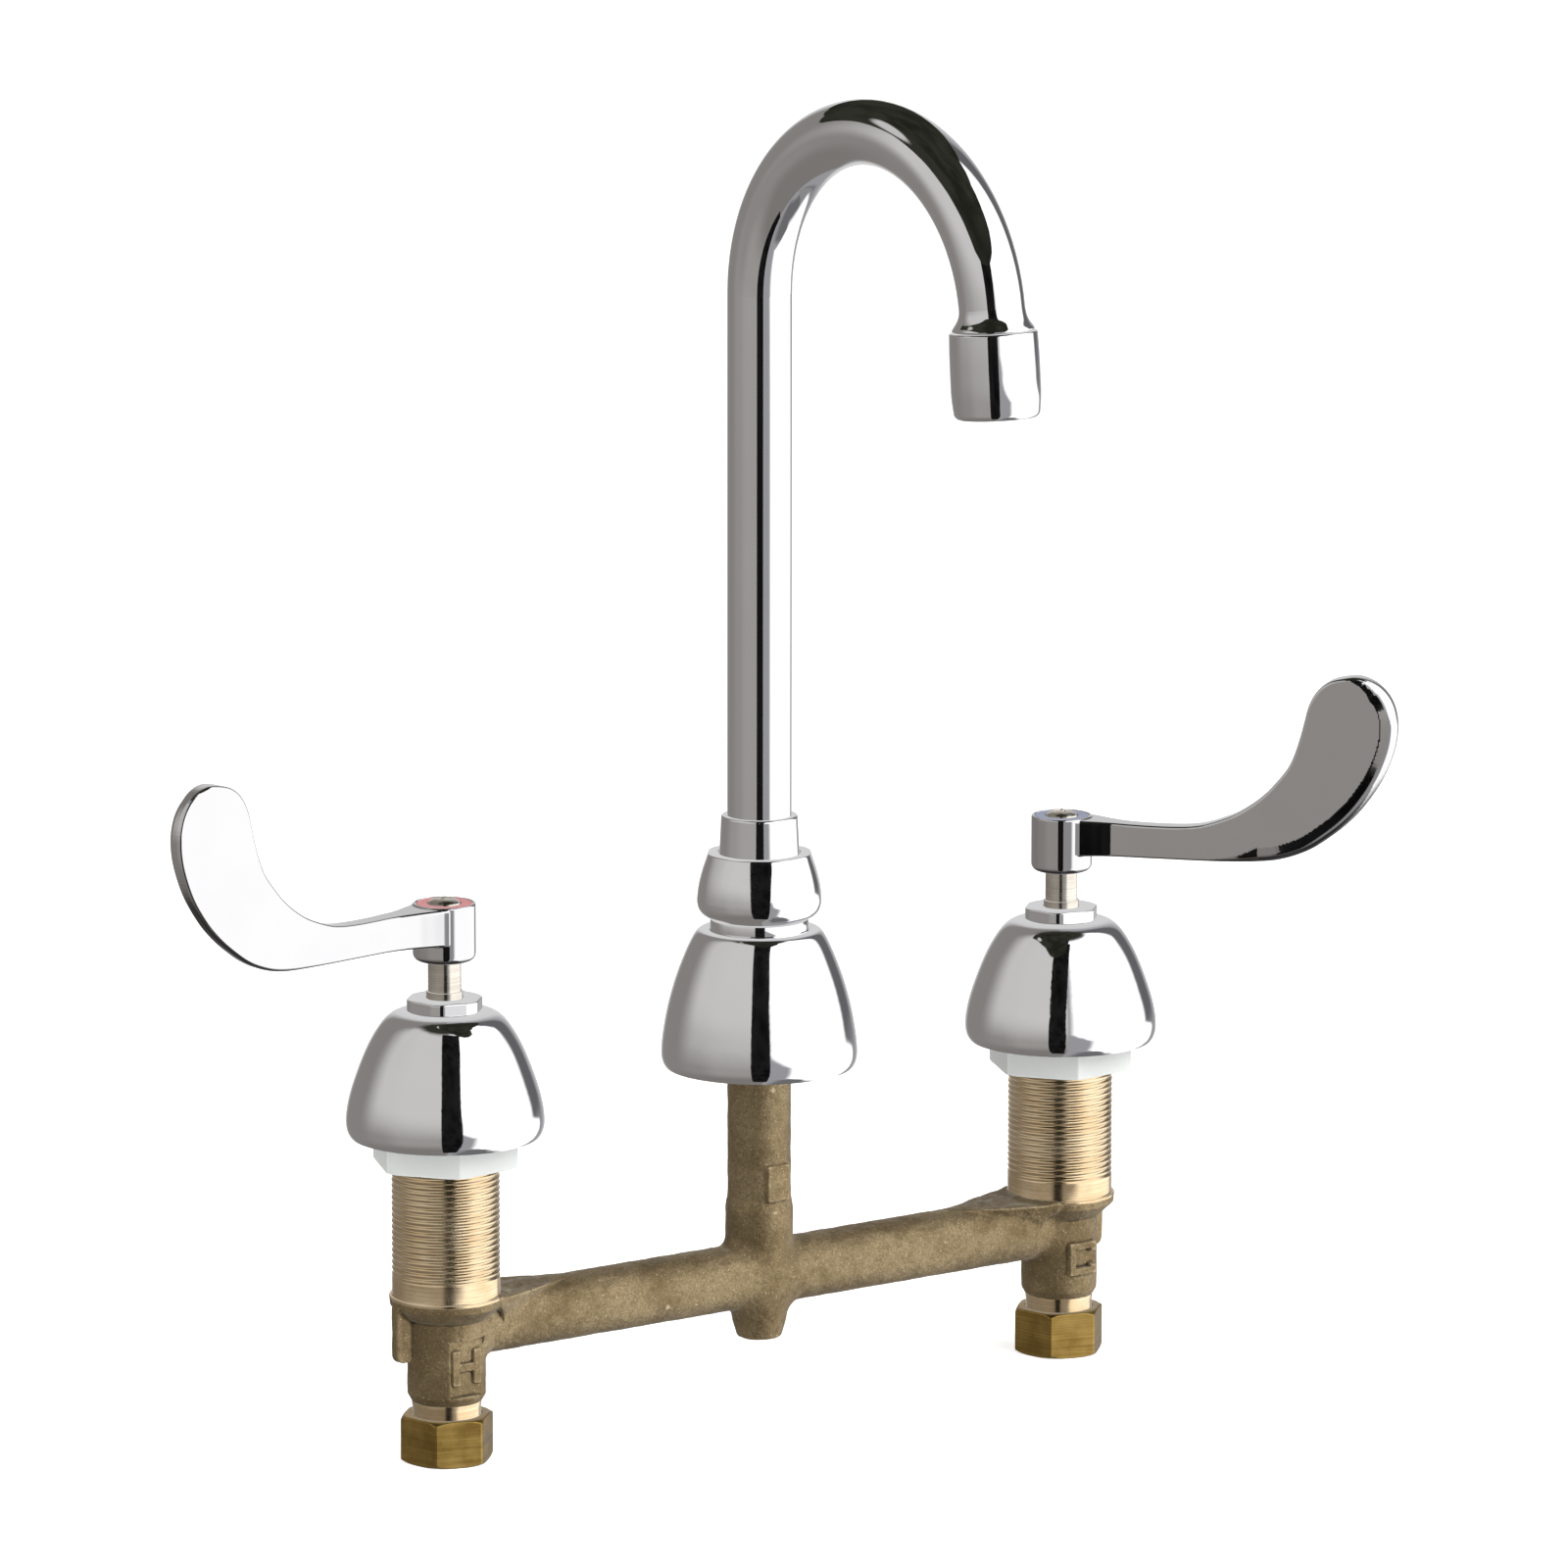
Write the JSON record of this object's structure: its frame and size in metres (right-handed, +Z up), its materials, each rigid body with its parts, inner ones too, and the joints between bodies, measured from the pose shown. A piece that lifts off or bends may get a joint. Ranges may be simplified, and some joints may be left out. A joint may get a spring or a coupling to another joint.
{
  "type": "basin faucet",
  "caption": "Deck-mounted basin faucet: two bell-covered valves with blade handles and a swinging gooseneck spout on one brass casting below the deck.",
  "frame": {"origin": "on the spout's swivel axis, in the plane of the deck surface that the two handle bells stand on", "axes": "+X to the cold valve, +Y to the back wall, +Z up"},
  "size_m": [0.3571, 0.1343, 0.3595],
  "materials": {
    "cast_brass": "sand cast below the flanges, machined thread on the shanks",
    "machined_brass": "bright machined",
    "nut_brass": "plain yellow brass, lightly tarnished",
    "chrome": "polished chrome plate",
    "nickel": "nickel plated",
    "screw_steel": "nickel plated steel",
    "clip_steel": "plated spring steel",
    "screen_steel": "stainless",
    "white_plastic": "natural white moulded nylon",
    "red_index": "moulded",
    "blue_index": "moulded",
    "seal_rubber": "moulded",
    "grey_plastic": "moulded acetal",
    "ceramic": "lapped ceramic"
  },
  "bodies": {
    "valve_base": {"body_casting": "cast_brass", "hot_fixed_disc": "ceramic", "hot_cartridge_body": "machined_brass", "hot_seat_seal": "seal_rubber", "hot_bell": "chrome", "hot_cap_nut": "chrome", "hot_shank_nut": "white_plastic", "hot_supply_nut": "nut_brass", "hot_supply_ferrule": "machined_brass", "cold_fixed_disc": "ceramic", "cold_cartridge_body": "machined_brass", "cold_seat_seal": "seal_rubber", "cold_bell": "chrome", "cold_cap_nut": "chrome", "cold_shank_nut": "white_plastic", "cold_supply_nut": "nut_brass", "cold_supply_ferrule": "machined_brass", "centre_bell": "chrome", "spout_adapter": "chrome", "spout_coupling_nut": "chrome"},
    "hot_handle": {"hot_lever": "chrome", "hot_lever_screw": "screw_steel", "hot_index_ring": "red_index", "hot_stem": "nickel", "hot_stem_clip": "clip_steel", "hot_stem_o_ring": "seal_rubber", "hot_moving_disc": "ceramic"},
    "cold_handle": {"cold_lever": "chrome", "cold_lever_screw": "screw_steel", "cold_index_ring": "blue_index", "cold_stem": "nickel", "cold_stem_clip": "clip_steel", "cold_stem_o_ring": "seal_rubber", "cold_moving_disc": "ceramic"},
    "spout": {"spout_collar": "chrome", "spout_o_rings": "seal_rubber", "spout_tube": "chrome", "outlet_ferrule": "chrome", "aerator_housing": "chrome", "aerator_gasket": "seal_rubber", "aerator_insert": "grey_plastic", "aerator_screen": "screen_steel"}
  },
  "joints": [
    {"name": "hot_turn", "type": "hinge", "parent": "valve_base", "child": "hot_handle", "pos_m": [-0.1016, 0, 0], "axis": [0, 0, 1], "range_deg": [0, 90]},
    {"name": "cold_turn", "type": "hinge", "parent": "valve_base", "child": "cold_handle", "pos_m": [0.1016, 0, 0], "axis": [0, 0, 1], "range_deg": [-49.5, 40.5]},
    {"name": "spout_swing", "type": "hinge", "parent": "valve_base", "child": "spout", "pos_m": [0, 0, 0], "axis": [0, 0, 1], "continuous": true}
  ]
}
